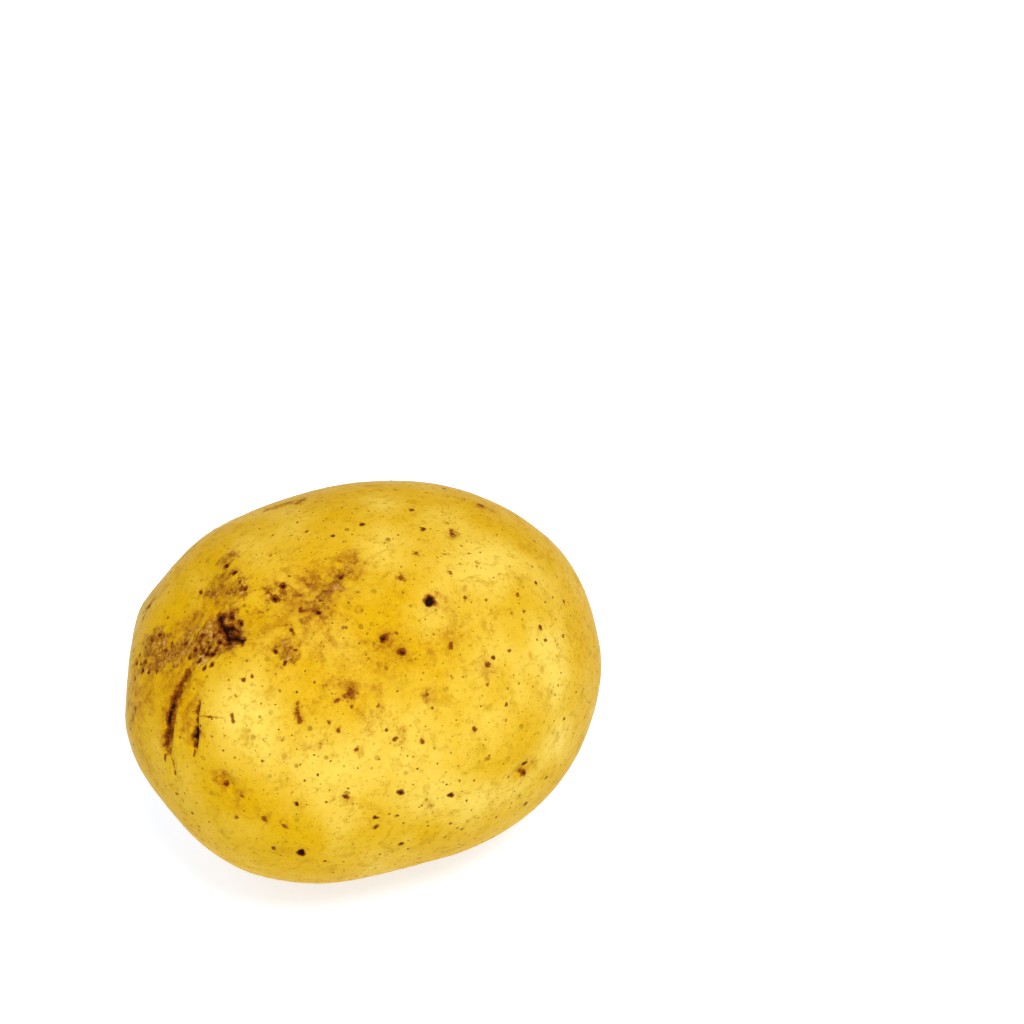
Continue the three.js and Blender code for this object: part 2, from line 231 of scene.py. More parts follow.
STAINS_AND_SHADE_SEEN = [
    (185, 648, 28, 0.75), (150, 655, 22, 0.6), (226, 636, 24, 0.8), (222, 588, 30, 0.7),
    (300, 590, 38, 0.55), (354, 564, 15, 0.9), (342, 580, 15, 0.7), (326, 604, 24, 0.6),
    (310, 585, 24, 0.4), (168, 712, 12, 0.75), (162, 740, 10, 0.6), (190, 732, 10, 0.6),
    (226, 781, 16, 0.6), (215, 775, 12, 0.35), (524, 767, 14, 0.7), (453, 534, 8, 0.9), (350, 692, 8, 1.1),
    (426, 696, 7, 0.9), (288, 655, 18, 0.5), (430, 603, 12, 0.4), (300, 500, 34, 0.45),
    (262, 816, 12, 0.45), (389, 645, 24, 0.35), (384, 700, 24, 0.25), (402, 654, 9, 0.5),
    (384, 639, 10, 0.6), (301, 852, 9, 0.45), (298, 715, 8, 0.4), (470, 605, 24, 0.35),
    (150, 770, 22, 0.25), (130, 700, 16, 0.35), (282, 628, 34, 0.3), (150, 605, 14, 0.6),
    (450, 645, 12, 0.5), (317, 612, 11, 0.6), (401, 579, 10, 0.5), (480, 507, 12, 0.5), (416, 555, 10, 0.3),
    (486, 670, 14, 0.35), (395, 740, 9, 0.4), (285, 745, 30, 0.2), (182, 715, 26, 0.75),
    (150, 695, 22, 0.6), (192, 640, 24, 0.5), (178, 668, 20, 0.8), (140, 660, 20, 0.5), (448, 605, 10, 0.6),
    (451, 632, 9, 0.6), (487, 668, 11, 0.7), (318, 702, 12, 0.4), (540, 702, 16, 0.35), (438, 690, 10, 0.4),
    (240, 818, 18, 0.3), (342, 674, 26, 0.5), (386, 662, 20, 0.45), (430, 655, 12, 0.4),
    (162, 590, 16, 0.5), (196, 690, 12, 0.4), (405, 735, 14, 0.4), (320, 740, 12, 0.35),
    (232, 610, 20, 0.5), (190, 632, 20, 0.6), (168, 640, 18, 0.6), (205, 614, 18, 0.4), (138, 688, 24, 0.5),
    (135, 722, 24, 0.5), (143, 760, 22, 0.4), (228, 552, 12, 0.4), (242, 792, 16, 0.4), (347, 560, 14, 0.5),
    (490, 510, 20, 0.35), (368, 724, 20, 0.35), (189, 706, 12, 0.5), (265, 632, 20, 0.3),
    (322, 640, 22, 0.35), (270, 848, 20, 0.25), (340, 800, 14, 0.2), (430, 806, 14, 0.25),
    (560, 600, 18, 0.2), (420, 640, 30, 0.2),
]

# Paler skin where the cork is thinnest, and with it painted highlights where the light falls most: across,
# down, radius in pixels, and strength.
PALE_AND_HIGHLIGHT_SEEN = [
    (240, 700, 34, 0.8), (255, 740, 34, 0.6), (350, 775, 44, 0.7), (480, 570, 40, 0.9), (545, 645, 32, 1.0),
    (480, 800, 34, 0.9), (385, 548, 34, 0.6), (555, 740, 26, 0.7), (430, 720, 40, 0.5), (300, 520, 30, 0.4),
    (440, 515, 26, 0.7), (200, 580, 20, 0.4), (300, 770, 40, 0.5), (430, 620, 30, 0.5), (540, 580, 26, 0.6),
    (490, 650, 34, 0.4), (490, 728, 38, 0.45), (400, 775, 34, 0.2), (450, 770, 34, 0.25),
    (340, 818, 26, 0.3), (190, 800, 24, 0.2), (240, 545, 26, 0.5), (385, 500, 24, 0.6), (430, 800, 30, 0.4),
    (250, 830, 22, 0.3), (555, 685, 24, 0.5), (508, 548, 24, 0.3), (515, 790, 20, 0.3),
]

# The same on the side that doesn't show, where no light or shade is painted: place, reach in mm, and
# strength.
SCURF_HIDDEN = [
    ((-33, 6, -1), 4.5, 0.8), ((-12, -16, -1), 4.0, 0.6), ((-2, 15, -1), 4.5, 0.7), ((18, -8, -1), 5, 0.6),
    ((24, 20, -1), 4.0, 0.5), ((38, 6, -1), 5.5, 0.8), ((-18, 2, -1), 6.0, 0.35), ((6, -30, -1), 5.0, 0.4),
    ((30, -18, -1), 6.0, 0.3), ((-28, 22, -1), 6.0, 0.35),
]
STAINS_HIDDEN = [
    ((-33, 6, -1), 7, 0.7), ((-12, -16, -1), 7, 0.6), ((-2, 15, -1), 7, 0.6), ((18, -8, -1), 8, 0.6),
    ((24, 20, -1), 7, 0.5), ((38, 6, -1), 9, 0.7), ((-18, 2, -1), 12, 0.45), ((6, -30, -1), 9, 0.5),
    ((30, -18, -1), 12, 0.35), ((-28, 22, -1), 10, 0.4), ((8, 2, -1), 14, 0.3), ((-4, 30, -1), 10, 0.35),
    ((-35, -10, -1), 8, 0.4), ((28, 6, -1), 9, 0.3),
]
PALE_HIDDEN = [
    ((-10, 10, -1), 14, 0.8), ((22, -22, -1), 10, 0.7), ((8, -8, -1), 9, 0.6), ((30, 14, -1), 9, 0.6),
    ((-25, -20, -1), 10, 0.6), ((10, 26, -1), 10, 0.6), ((-22, 14, -1), 9, 0.5),
]

# The dark cores of the pits there: place and radius.
PITS_HIDDEN = [((-20, 22, -1), 0.7), ((4, -27, -1), 0.8), ((33, 1, -1), 0.6)]

# How each kind of dot shows: its darkness and how ragged it is, its stain and that one's reach, its height
# and that one's reach. Reaches and heights are shares of the dot's own radius.
DOT_LOOKS = {
    "pit": (1.6, 0.5, 0.7, 1.7, 0, 1),
    "speck": (1.0, 1, 0.45, 1.8, -0.12, 0.9),
    "torn": (1.0, 1, 0, 1, -0.15, 1),
    "faint": (0.72, 1, 0.5, 1.2, 0.04, 1),
}

# Rims round dots: radius and width as shares of the dot's own radius, then the stain and the height in mm.
RIM_LOOKS = {
    "pit": (1.3, 0.4, 0, 0.1),
    "ring": (0.75, 0.35, 0.7, 0.06),
}

# How a crack shows: how ragged it is, its stain and that one's reach, and its depth.
CRACK_RAGGEDNESS = 0.4
CRACK_STAIN = 0.9
CRACK_STAIN_REACH = 1.6
CRACK_DEPTH = 0.25

# Marks are torn at their edges, by tears of this size and this reach in mm.
TEAR_SIZE = 0.9
TEAR_REACH = 0.3
TEAR_SEED = 9

# The most that stains and painted shade add up to where they lie over each other, and the most for marks of
# any kind.
STAIN_AND_SHADE_LIMIT = 0.85
FIELD_LIMIT = 1.2

# Waves of the skin: their height and size in mm, octaves and seed. The last ones are only in scurf.
SKIN_WAVES = [(0.16, 13, 2, 1), (0.035, 2.6, 2, 2)]
SCURF_WAVES = (0.16, 1.3, 3, 3)

# The mesh: the length of its edges on plain skin and in the finest marks, and how fast they lengthen.
PLAIN_EDGE = 0.85
FINE_EDGE = 0.2
EDGE_GROWTH = 0.34
SPLIT_ABOVE = 1.35

# How far a form's fine mesh reaches and the edge there, as shares of an eye's span, a crease's width or a
# dot's radius, and then in mm for the scar, for cracks and for scurf from a certain strength on.
EYE_MESH = (0.9, 0.12)
CREASE_MESH = (2.2, 0.25)
DOT_MESH = (1.6, 0.3)
PIT_MESH_REACH = 1.4
SCAR_EDGE = 0.5
CRACK_MESH_REACH = 1.5
SCURF_MESH = (0.8, 0.4)
SCURF_MESHED_FROM = 0.45

# The rough mesh, on which the pixels of the photograph are looked up.
ROUGH_PLAIN_EDGE = 3.4
ROUGH_REACH = 2.5
ROUGH_EYE_EDGE = 0.8
ROUGH_CREASE_EDGE = 0.6

# Patterns in the skin: the size at which each repeats in mm, its detail and its roughness.
SKIN_PATTERNS = {
    "clouds": (15, 4, 0.6),
    "clusters": (7, 2, 0.5),
    "mottle": (3.2, 6, 0.7),
    "ragged": (2.4, 5, 0.7),
    "crust": (1.3, 5, 0.8),
    "blotch": (1.1, 3, 0.6),
    "lines": (1.0, 3, 0.6),
    "grain": (0.5, 3, 0.7),
}
LINES_DRAWN_OUT = (0.16, 1, 1)

# Flecks of suberin: the size of the cells that they lie in, in mm, and the largest radius as a share of it.
FLECK_CELLS = (1.9, 1.0)
LARGEST_FLECK = 0.3

# Lenticels: sizes in mm, and the height of a grain as a share of its radius.
LENTICEL_SPACING = 2.4
SMALLEST_LENTICEL = 0.1
LARGEST_LENTICEL = 0.55
LENTICEL_HEIGHT = 0.12
LENTICEL_SEED = 4
LENTICELS_TRIED = 1.5e6  # to the square metre, before those that are too close go
FEW_LARGE = 5.0  # the higher, the rarer is a large grain
BROAD_SIDE_SHARE = 0.5  # the largest on the side that shows, against the rest
STRETCH = (0.8, 1.5)
STRETCH_SEED = 5
TURN_SEED = 7
TONE_SEED = 11

# The studio: one large soft light high on the right, in mm from the tuber's middle, and a white room.
KEY_PLACE = (600, 1500, 3000)
KEY_WIDTH = 1700
KEY_WATTS = 70
ROOM_LIGHT = 0.54
FLOOR_GLOW = 0.57  # the floor is a lit board, which keeps it white and the shadows weak
FLOOR_REACH = 6  # metres
FLOOR_GAP = 0.1  # mm under the flat, which clears the lenticels on it


def length(vectors):
    return np.sqrt((vectors * vectors).sum(-1))


def unit(vectors):
    return vectors / length(vectors)[..., None]


def bell(distance, reach):
    return np.exp(-((distance / reach) ** 2))


def smooth(low, high, values):
    """0 below low and 1 above high, with a smooth rise between them."""
    share = np.clip((values - low) / (high - low), 0, 1)
    return share * share * (3 - 2 * share)


# The tuber's form


def outline_radius(angle):
    """A smooth closed curve by angle, through even steps, as a uniform cubic B-spline."""
    along = (angle % (2 * pi)) / (2 * pi) * len(OUTLINE)
    step = np.floor(along).astype(int)
    t = along - step
    weights = ((1 - t) ** 3, 3 * t**3 - 6 * t**2 + 4, -3 * t**3 + 3 * t**2 + 3 * t + 1, t**3)
    return sum(w * OUTLINE[(step + i - 1) % len(OUTLINE)] for i, w in enumerate(weights)) / 6


def body_points(directions):
    """The bare body's surface in each direction from its middle."""
    across = np.hypot(directions[:, 0], directions[:, 1])
    across = across / outline_radius(np.arctan2(directions[:, 1], directions[:, 0]))
    depth = np.abs(directions[:, 2]) / DEPTH
    return directions * ((across**FULLNESS + depth**FULLNESS) ** (-1 / FULLNESS))[:, None]


def skin_point(place):
    """The bare body's surface at a place given as it is seen."""
    right, up, side = place
    across = hypot(right, up) / float(outline_radius(np.arctan2(up, right)))
    depth = (1 - min(across, 1) ** FULLNESS) ** (1 / FULLNESS)
    return np.array([right, up, side * depth * DEPTH])


def eye_axes(place, faces):
    """An eye's middle, the way that it faces along the skin, and its side's way."""
    middle = skin_point(place)
    outwards = unit(middle)
    facing = np.array([cos(radians(faces)), sin(radians(faces)), 0])
    facing = unit(facing - outwards * (facing @ outwards))
    return middle, facing, np.cross(outwards, facing)


def eye_heights(points, place, faces, span, depth, brow):
    """A bowl, with an arched brow on the side that the eye faces."""
    middle, facing, sideways = eye_axes(place, faces)
    offset = points - middle
    ahead = offset @ facing / span
    aside = offset @ sideways / span
    bowl = bell(np.hypot(aside / BOWL_STRETCH, ahead), BOWL_REACH)
    ridge = bell(ahead - BROW_AHEAD + BROW_BEND * aside**2, BROW_WIDTH) * bell(aside, 1)
    return np.where(length(offset) > EYE_LIMIT * span, 0, brow * ridge - depth * bowl)


def along_path(points, bends):
    """For each point, its distance from a path, the share of the path there, and its side's sign."""
    nearest = np.full(len(points), np.inf)
    share_there = np.zeros(len(points))
    side = np.zeros(len(points))
    for i, (start, end) in enumerate(zip(bends, bends[1:])):
        run = end - start
        offset = points - start
        share = np.clip(offset @ run / (run @ run), 0, 1)
        across = offset - share[:, None] * run
        distance = length(across)
        nearer = distance < nearest
        nearest[nearer] = distance[nearer]
        share_there[nearer] = ((i + share) / (len(bends) - 1))[nearer]
        side[nearer] = np.sign(across[:, 0])[nearer]
    return nearest, share_there, side


def crease_heights(points, path, width, depth, lip):
    """A groove that fades towards its ends, with a lip on its right."""
    distance, share, side = along_path(points, [skin_point(place) for place in path])
    distance = distance / width
    fade = np.sqrt(np.abs(np.sin(pi * share)))
    return fade * (lip * bell(side * distance - LIP_PLACE, LIP_WIDTH) - depth * bell(distance, 1))


def scar_heights(points, place, radius, rim, rim_width, depth, reach):
    distance = length(points - skin_point(place))
    return rim * bell(distance - radius, rim_width) - depth * bell(distance, reach)


def main_relief(points):
    """How far the skin stands out of the bare body at each point."""
    heights = scar_heights(points, *SCAR)
    for place, reach, height in SWELLS + [(place, radius, -depth) for place, radius, depth in PITS]:
        heights += height * bell(length(points - skin_point(place)), reach)
    for eye in EYES:
        heights += eye_heights(points, *eye)
    for crease in CREASES:
        heights += crease_heights(points, *crease)
    return heights


def placed(points):
    """From the axes of the broad side to the part's own, with the outline's plane leaning back."""
    lean = LEAN_RIGHT * points[:, 0] + LEAN_UP * points[:, 1]
    return (points + np.stack([0 * lean, 0 * lean, lean], 1)) @ SIGHT_AXES


def skin_points(directions):
    bodies = body_points(directions)
    return placed(bodies + directions * main_relief(bodies)[:, None])


def refined(directions, faces, edge_wanted):
    """Splits every edge that is too long for the skin there, and the faces beside it."""
    skin = skin_points(directions)
    corners = np.sort(faces[:, [[0, 1], [1, 2], [2, 0]]].reshape(-1, 2), axis=1)
    keys, edge_of = np.unique(corners[:, 0] * len(directions) + corners[:, 1], return_inverse=True)
    starts, ends = np.divmod(keys, len(directions))
    middles = unit(directions[starts] + directions[ends])
    long = length(skin[starts] - skin[ends]) > SPLIT_ABOVE * edge_wanted(middles)
    added = np.where(long, len(directions) + np.cumsum(long) - 1, -1)
    halves = added[edge_of].reshape(-1, 3)
    split = halves >= 0
    count = split.sum(1)
    turn = np.where(count == 2, (split.argmin(1) + 1) % 3, split.argmax(1))
    order = (turn[:, None] + np.arange(3)) % 3
    a, b, c = np.take_along_axis(faces, order, 1).T
    ab, bc, ca = np.take_along_axis(halves, order, 1).T
    parts = {
        0: [(a, b, c)],
        1: [(ab, b, c), (ab, c, a)],
        2: [(ab, b, bc), (ab, bc, c), (ab, c, a)],
        3: [(a, ab, ca), (ab, b, bc), (ca, bc, c), (ab, bc, ca)],
    }
    rows = [np.stack(part, 1)[count == n] for n, those in parts.items() for part in those]
    return np.concatenate([directions, middles[long]]), np.concatenate(rows)


def divided_sphere(edge_wanted):
    """Directions over a sphere and the faces between them, fine enough for the skin everywhere."""
    ball = bmesh.new()
    bmesh.ops.create_icosphere(ball, subdivisions=1, radius=1)
    directions = unit(np.array([vertex.co for vertex in ball.verts], float))
    faces = np.array([[vertex.index for vertex in face.verts] for face in ball.faces])
    ball.free()
    before = 0
    while len(faces) > before:
        before = len(faces)
        directions, faces = refined(directions, faces, edge_wanted)
    return directions, faces


def edges_for(fine_places, plain):
    """The length that the mesh's edges should have in each direction, from places, reaches and edges."""

    def edge_wanted(directions):
        bodies = body_points(directions)
        wanted = np.full(len(directions), float(plain))
        for middle, reach, edge in fine_places:
            beyond = np.maximum(0, length(bodies - middle) - reach)
            np.minimum(wanted, edge + EDGE_GROWTH * beyond, out=wanted)
        return wanted

    return edge_wanted


# The tuber's place on the floor


def pressed(heights):
    """Presses the lowest skin level with the floor, with a soft edge round the flat."""
    soft = (np.maximum(heights, -FLAT_SOFTNESS) + FLAT_SOFTNESS) ** 2 / (4 * FLAT_SOFTNESS)
    return np.where(heights >= FLAT_SOFTNESS, heights, soft)


def seat_of(skin):
    """The move that puts the skin's middle over the solid's, and its lowest point into the floor."""
    low, high = (np.array(corner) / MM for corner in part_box(NODE))
    shift = (low + high) / 2 - (skin.min(0) + skin.max(0)) / 2
    shift[2] = -(skin[:, 2].min() + FLAT_PRESS)
    return shift


# What the photograph's camera sees


def photo_camera_turn():
    """The camera's tilt and turn that put the tuber's middle at its pixel, seen along the sight line."""
    across = (TUBER_MIDDLE_PX[0] - FRAME_PX / 2) / FOCAL_PX
    down = (TUBER_MIDDLE_PX[1] - FRAME_PX / 2) / FOCAL_PX
    reach = sqrt(1 + across**2 + down**2)
    tilt = asin(sin(SIGHT_TILT) * reach / hypot(1, down)) - atan(down)
    turn = SIGHT_TURN + atan(across / (cos(tilt) - down * sin(tilt)))
    return tilt, turn


def pixel_ray(across, down):
    """The direction in which the photograph's camera sees a pixel."""
    tilt, turn = photo_camera_turn()
    right = np.array([cos(turn), sin(turn), 0])
    forward = np.array([-sin(turn) * cos(tilt), cos(turn) * cos(tilt), -sin(tilt)])
    up = np.cross(right, forward)
    ray = forward * FOCAL_PX + right * (across - FRAME_PX / 2) - up * (down - FRAME_PX / 2)
    return unit(ray)


class SeenSkin:
    """Finds the body's point that a pixel of the photograph shows."""

    def __init__(self, directions, faces, seat):
        self.bodies = body_points(directions)
        self.faces = faces
        self.skin = skin_points(directions) + seat
        self.tree = BVHTree.FromPolygons(self.skin.tolist(), faces.tolist())
        self.eye = seat + TOWARDS * EYE_DISTANCE

    def at(self, across, down):
        hit, _, face, _ = self.tree.ray_cast(Vector(self.eye), Vector(pixel_ray(across, down)))
        if face is None:
            raise ValueError(f"no skin at pixel {across}, {down}")
        corners = self.faces[face]
        weights = np.linalg.solve(self.skin[corners].T, np.array(hit))
        return weights @ self.bodies[corners]


# Small marks


def dots_seen(seen, dots):
    """Body points and radii in mm of marks given by pixel and width."""
    return [(seen.at(across, down), width / 2 / PX_PER_MM) for across, down, width in dots]


def patches(seen, by_pixel, by_place):
    """Body points, reaches in mm and strengths of soft patches."""
    shown = [(seen.at(x, y), radius / PX_PER_MM, strength) for x, y, radius, strength in by_pixel]
    return shown + [(skin_point(place), reach, strength) for place, reach, strength in by_place]


def cone(points, middle, radius):
    """1 at a mark's middle, a half at its edge and 0 twice as far out."""
    return np.clip(1 - length(points - middle) / (2 * radius), 0, 1)


def wavy(points, size, octaves, seed):
    """Smooth noise from -1 to 1, with waves of about this size in mm."""
    away = Vector((seed * 7.3, seed * 3.1, -seed * 5.7))
    return np.array([
        noise.fractal(Vector(point) / size + away, 0.9, 2.0, octaves, noise_basis="PERLIN_ORIGINAL")
        for point in points.tolist()
    ])


def eye_marks(place, faces, span):
    """A deep eye's dark fold under the brow, and the middles of its buds."""
    middle, facing, sideways = eye_axes(place, faces)

    def at(ahead, aside):
        return body_points(unit(middle + span * (ahead * facing + aside * sideways))[None])[0]

    fold = [at(FOLD_AHEAD - BROW_BEND * aside**2, aside) for aside in (-0.8, -0.4, 0, 0.4, 0.8)]
    return fold, [at(*bud) for bud in BUDS]


def marks_of(seen):
    """Every small mark: what it is, where its middle is, and its radius."""
    marks = {
        "pit": dots_seen(seen, DARK_PITS) + [(skin_point(place), radius) for place, radius in PITS_HIDDEN],
        "speck": dots_seen(seen, DARK_SPECKS),
        "faint": dots_seen(seen, FAINT_SPECKS),
        "ring": dots_seen(seen, RINGS),
        "torn": [(seen.at(x, y), radius / PX_PER_MM) for x, y, radius in TORN],
    }
    cracks = [
        ([seen.at(x, y) for x, y in path], width / 2 / PX_PER_MM, strength)
        for path, width, strength in CRACKS
    ]
    for place, faces, span, _, _ in EYES:
        if span >= DEEP_EYE_SPAN:
            fold, buds = eye_marks(place, faces, span)
            cracks.append((fold, FOLD_RADIUS, FOLD_DARKNESS))
            marks["speck"] += [(bud, BUD_RADIUS) for bud in buds]
    return marks, cracks


def fine_places(marks, cracks, scurf):
    """Where the mesh has to be fine: a body point, how far the fine faces reach, and their edges."""
    reach, edge = EYE_MESH
    places = [(skin_point(place), reach * span, edge * span) for place, _, span, _, _ in EYES]
    reach, edge = CREASE_MESH
    for path, width, _, _ in CREASES:
        places += [(skin_point(place), reach * width, max(FINE_EDGE, edge * width)) for place in path]
    places += [(skin_point(place), PIT_MESH_REACH * radius, FINE_EDGE) for place, radius, _ in PITS]
    places.append((skin_point(SCAR[0]), PIT_MESH_REACH * SCAR[1], SCAR_EDGE))
    reach, edge = DOT_MESH
    for dots in marks.values():
        places += [(middle, reach * radius, max(FINE_EDGE, edge * radius)) for middle, radius in dots]
    for path, _, _ in cracks:
        bends = path + [(start + end) / 2 for start, end in zip(path, path[1:])]
        places += [(middle, CRACK_MESH_REACH, FINE_EDGE) for middle in bends]
    share, edge = SCURF_MESH
    places += [(middle, share * reach, edge) for middle, reach, strength in scurf
               if strength > SCURF_MESHED_FROM]
    return places


def tears(points):
    """How far the skin's marks are torn out of place at each point, in mm."""
    noise.seed_set(TEAR_SEED)
    moves = [noise.noise_vector(Vector(point) / TEAR_SIZE) for point in points.tolist()]
    return TEAR_REACH * np.array(moves)


def summed(bodies, patches_there):
    """The strengths of soft patches, added up at each point."""
    total = np.zeros(len(bodies))
    for middle, reach, strength in patches_there:
        total += strength * bell(length(bodies - middle), reach)
    return total


def mark_fields(bodies, marks, cracks, scurf, stains_and_shade, pale_and_highlight):
    """The skin's dark marks, its stains together with painted shade, scurf, and paler places together with
    painted highlights, and how far the marks stand out, in mm.
    """
    dark = np.zeros(len(bodies))
    heights = np.zeros(len(bodies))
    stain_and_shade = summed(bodies, stains_and_shade)
    moves = tears(bodies)
    for kind, (darkness, raggedness, tint, tint_reach, rise, rise_reach) in DOT_LOOKS.items():
        ragged = bodies + raggedness * moves
        for middle, radius in marks[kind]:
            distance = length(bodies - middle)
            np.maximum(dark, darkness * cone(ragged, middle, radius), out=dark)
            stain_and_shade += tint * bell(distance, tint_reach * radius)
            heights += rise * radius * bell(distance, rise_reach * radius)
    for kind, (place, width, tint, rise) in RIM_LOOKS.items():
        for middle, radius in marks[kind]:
            rim = bell(length(bodies - middle) - place * radius, width * radius)
            stain_and_shade += tint * rim
            heights += rise * rim
    for path, radius, strength in cracks:
        distance, _, _ = along_path(bodies + CRACK_RAGGEDNESS * moves, path)
        np.maximum(dark, strength * np.clip(1 - distance / (2 * radius), 0, 1), out=dark)
        stain_and_shade += CRACK_STAIN * strength * bell(distance, CRACK_STAIN_REACH * radius)
        heights -= CRACK_DEPTH * strength * radius * bell(distance, radius)
    stain_and_shade = STAIN_AND_SHADE_LIMIT * np.tanh(stain_and_shade / STAIN_AND_SHADE_LIMIT)
    fields = {"dark": dark, "stain_and_shade": stain_and_shade, "scurf": summed(bodies, scurf), "pale_and_highlight": summed(bodies, pale_and_highlight)}
    return {name: np.clip(values, 0, FIELD_LIMIT) for name, values in fields.items()}, heights


def skin_normals(skin, faces):
    corners = skin[faces]
    across = np.cross(corners[:, 1] - corners[:, 0], corners[:, 2] - corners[:, 0])
    normals = np.zeros_like(skin)
    for corner in range(3):
        np.add.at(normals, faces[:, corner], across)
    return unit(normals)


def bake_map(directions, faces):
    """A place on a square map for each corner of each face: six charts, as on the sides of a cube."""
    corners = directions[faces]
    middle = corners.mean(1)
    side = np.abs(middle).argmax(1)
    back = np.take_along_axis(middle, side[:, None], 1)[:, 0] < 0
    first, second = (side + 1) % 3, (side + 2) % 3
    pick = np.arange(len(faces))[:, None]
    ahead = np.abs(corners[pick, np.arange(3), side[:, None]])
    u = np.arctan(corners[pick, np.arange(3), first[:, None]] / ahead) / (pi / 2)
    v = np.arctan(corners[pick, np.arange(3), second[:, None]] / ahead) / (pi / 2)
    chart = 0.95  # which leaves a margin between the charts
    return np.stack([
        (side[:, None] + 0.5 + chart * u) / 3,
        (back[:, None] + 0.5 + chart * v) / 2,
    ], -1)


def tuber_object():
    """The whole tuber as one closed mesh, with its marks in its surface and named on its points."""
    rough_places = [(skin_point(place), ROUGH_REACH, ROUGH_EYE_EDGE) for place, *_ in EYES]
    for path, *_ in CREASES:
        rough_places += [(skin_point(place), ROUGH_REACH, ROUGH_CREASE_EDGE) for place in path]
    directions, faces = divided_sphere(edges_for(rough_places, ROUGH_PLAIN_EDGE))
    seat = seat_of(skin_points(directions))
    seen = SeenSkin(directions, faces, seat)
    marks, cracks = marks_of(seen)
    scurf = patches(seen, SCURF_SEEN, SCURF_HIDDEN)
    # On the broad side the stains also hold painted shade, and the paler places hold painted highlights.
    stains_and_shade = patches(seen, STAINS_AND_SHADE_SEEN, STAINS_HIDDEN)
    pale_and_highlight = patches(seen, PALE_AND_HIGHLIGHT_SEEN, PALE_HIDDEN)

    directions, faces = divided_sphere(edges_for(fine_places(marks, cracks, scurf), PLAIN_EDGE))
    bodies = body_points(directions)
    fields, heights = mark_fields(bodies, marks, cracks, scurf, stains_and_shade, pale_and_highlight)
    skin = skin_points(directions) + seat
    for height, *waves in SKIN_WAVES:
        heights += height * wavy(bodies, *waves)
    height, *waves = SCURF_WAVES
    heights += height * smooth(0.3, 0.8, fields["scurf"]) * wavy(bodies, *waves)
    skin = skin + skin_normals(skin, faces) * (heights * smooth(-0.5, 2, skin[:, 2]))[:, None]
    skin[:, 2] = pressed(skin[:, 2])

    mesh = bpy.data.meshes.new("tuber")
    mesh.from_pydata((skin * MM).tolist(), [], faces.tolist())
    mesh.shade_smooth()
    fields["shown"] = smooth(0.05, 0.3, bodies[:, 2] / DEPTH)
    for name, values in fields.items():
        layer = mesh.attributes.new(name, "FLOAT", "POINT")
        layer.data.foreach_set("value", values.astype(np.float32))
    layer = mesh.uv_layers.new(name="OFBake")
    layer.uv.foreach_set("vector", bake_map(directions, faces).astype(np.float32).ravel())
    tuber = bpy.data.objects.new("tuber", mesh)
    bpy.context.scene.collection.objects.link(tuber)
    return tuber, seat


# Node trees


def linear(hex_colour):
    """An sRGB colour, written as RRGGBB, in linear light."""
    channels = [int(hex_colour[i:i + 2], 16) / 255 for i in (0, 2, 4)]
    return [c / 12.92 if c <= 0.04045 else ((c + 0.055) / 1.055) ** 2.4 for c in channels] + [1]


def per(size_mm):
    """The scale at which a pattern on object coordinates repeats about once in this size."""
    return 1 / (size_mm * MM)


def node(tree, kind, inputs=None, **settings):
    """Adds a node and gives its outputs. Each input is a value, or the output that feeds it."""
    made = tree.nodes.new(kind)
    for name, value in settings.items():
        setattr(made, name, value)
    for key, value in (inputs or {}).items():
        if isinstance(value, bpy.types.NodeSocket):
            tree.links.new(value, made.inputs[key])
        else:
            made.inputs[key].default_value = value
    return made.outputs


def new_material(name):
    material = bpy.data.materials.new(name)
    material.use_nodes = True
    material.node_tree.nodes.clear()
    return material, material.node_tree


def skin_patterns(tree, place):
    """The noises that the skin's colour and relief are made of. The lines are drawn out along one way."""
    turn = {"Vector": place, "Rotation": (0, 0, -SIGHT_TURN), "Scale": LINES_DRAWN_OUT}
    drawn_out = node(tree, "ShaderNodeMapping", turn)[0]
    patterns = {}
    for name, (size_mm, detail, roughness) in SKIN_PATTERNS.items():
        patterns[name] = node(tree, "ShaderNodeTexNoise", {
            "Vector": drawn_out if name == "lines" else place,
            "Scale": per(size_mm),
            "Detail": detail,
            "Roughness": roughness,
        })["Fac"]
    return patterns


def flecks(tree, place, cell_mm):
    """Round dots, of which only some cells have one large enough to show."""
    cells = node(tree, "ShaderNodeTexVoronoi", {"Vector": place, "Scale": per(cell_mm)})
    chance = node(tree, "ShaderNodeSeparateColor", {0: cells["Color"]})[0]
    rare = node(tree, "ShaderNodeMath", {0: chance, 1: 3.0}, operation="POWER")[0]
    radius = node(tree, "ShaderNodeMath", {0: rare, 1: LARGEST_FLECK}, operation="MULTIPLY")[0]
    inside = node(tree, "ShaderNodeMath", {0: radius, 1: cells["Distance"]}, operation="SUBTRACT")[0]
    soft_edge = {"Value": inside, "From Min": -0.03, "From Max": 0.05}
    return node(tree, "ShaderNodeMapRange", soft_edge, interpolation_type="SMOOTHSTEP")[0]


def ruffled(tree, value, *ruffles):
    """A value made uneven by patterns, each with its strength."""
    for pattern, strength in ruffles:
        offset = node(tree, "ShaderNodeMath", {0: pattern, 1: 0.5}, operation="SUBTRACT")[0]
        moved = {0: offset, 1: strength, 2: value}
        value = node(tree, "ShaderNodeMath", moved, operation="MULTIPLY_ADD")[0]
    return value


def coated(tree, under, coat, value, start, full, strength=1.0):
    """A colour with another over it, which comes in where the value goes from start to full."""
    rise = {"Value": value, "From Min": start, "From Max": full, "To Max": strength}
    share = node(tree, "ShaderNodeMapRange", rise, interpolation_type="SMOOTHSTEP")[0]
    return node(tree, "ShaderNodeMix", {0: share, 6: under, 7: coat}, data_type="RGBA")[2]


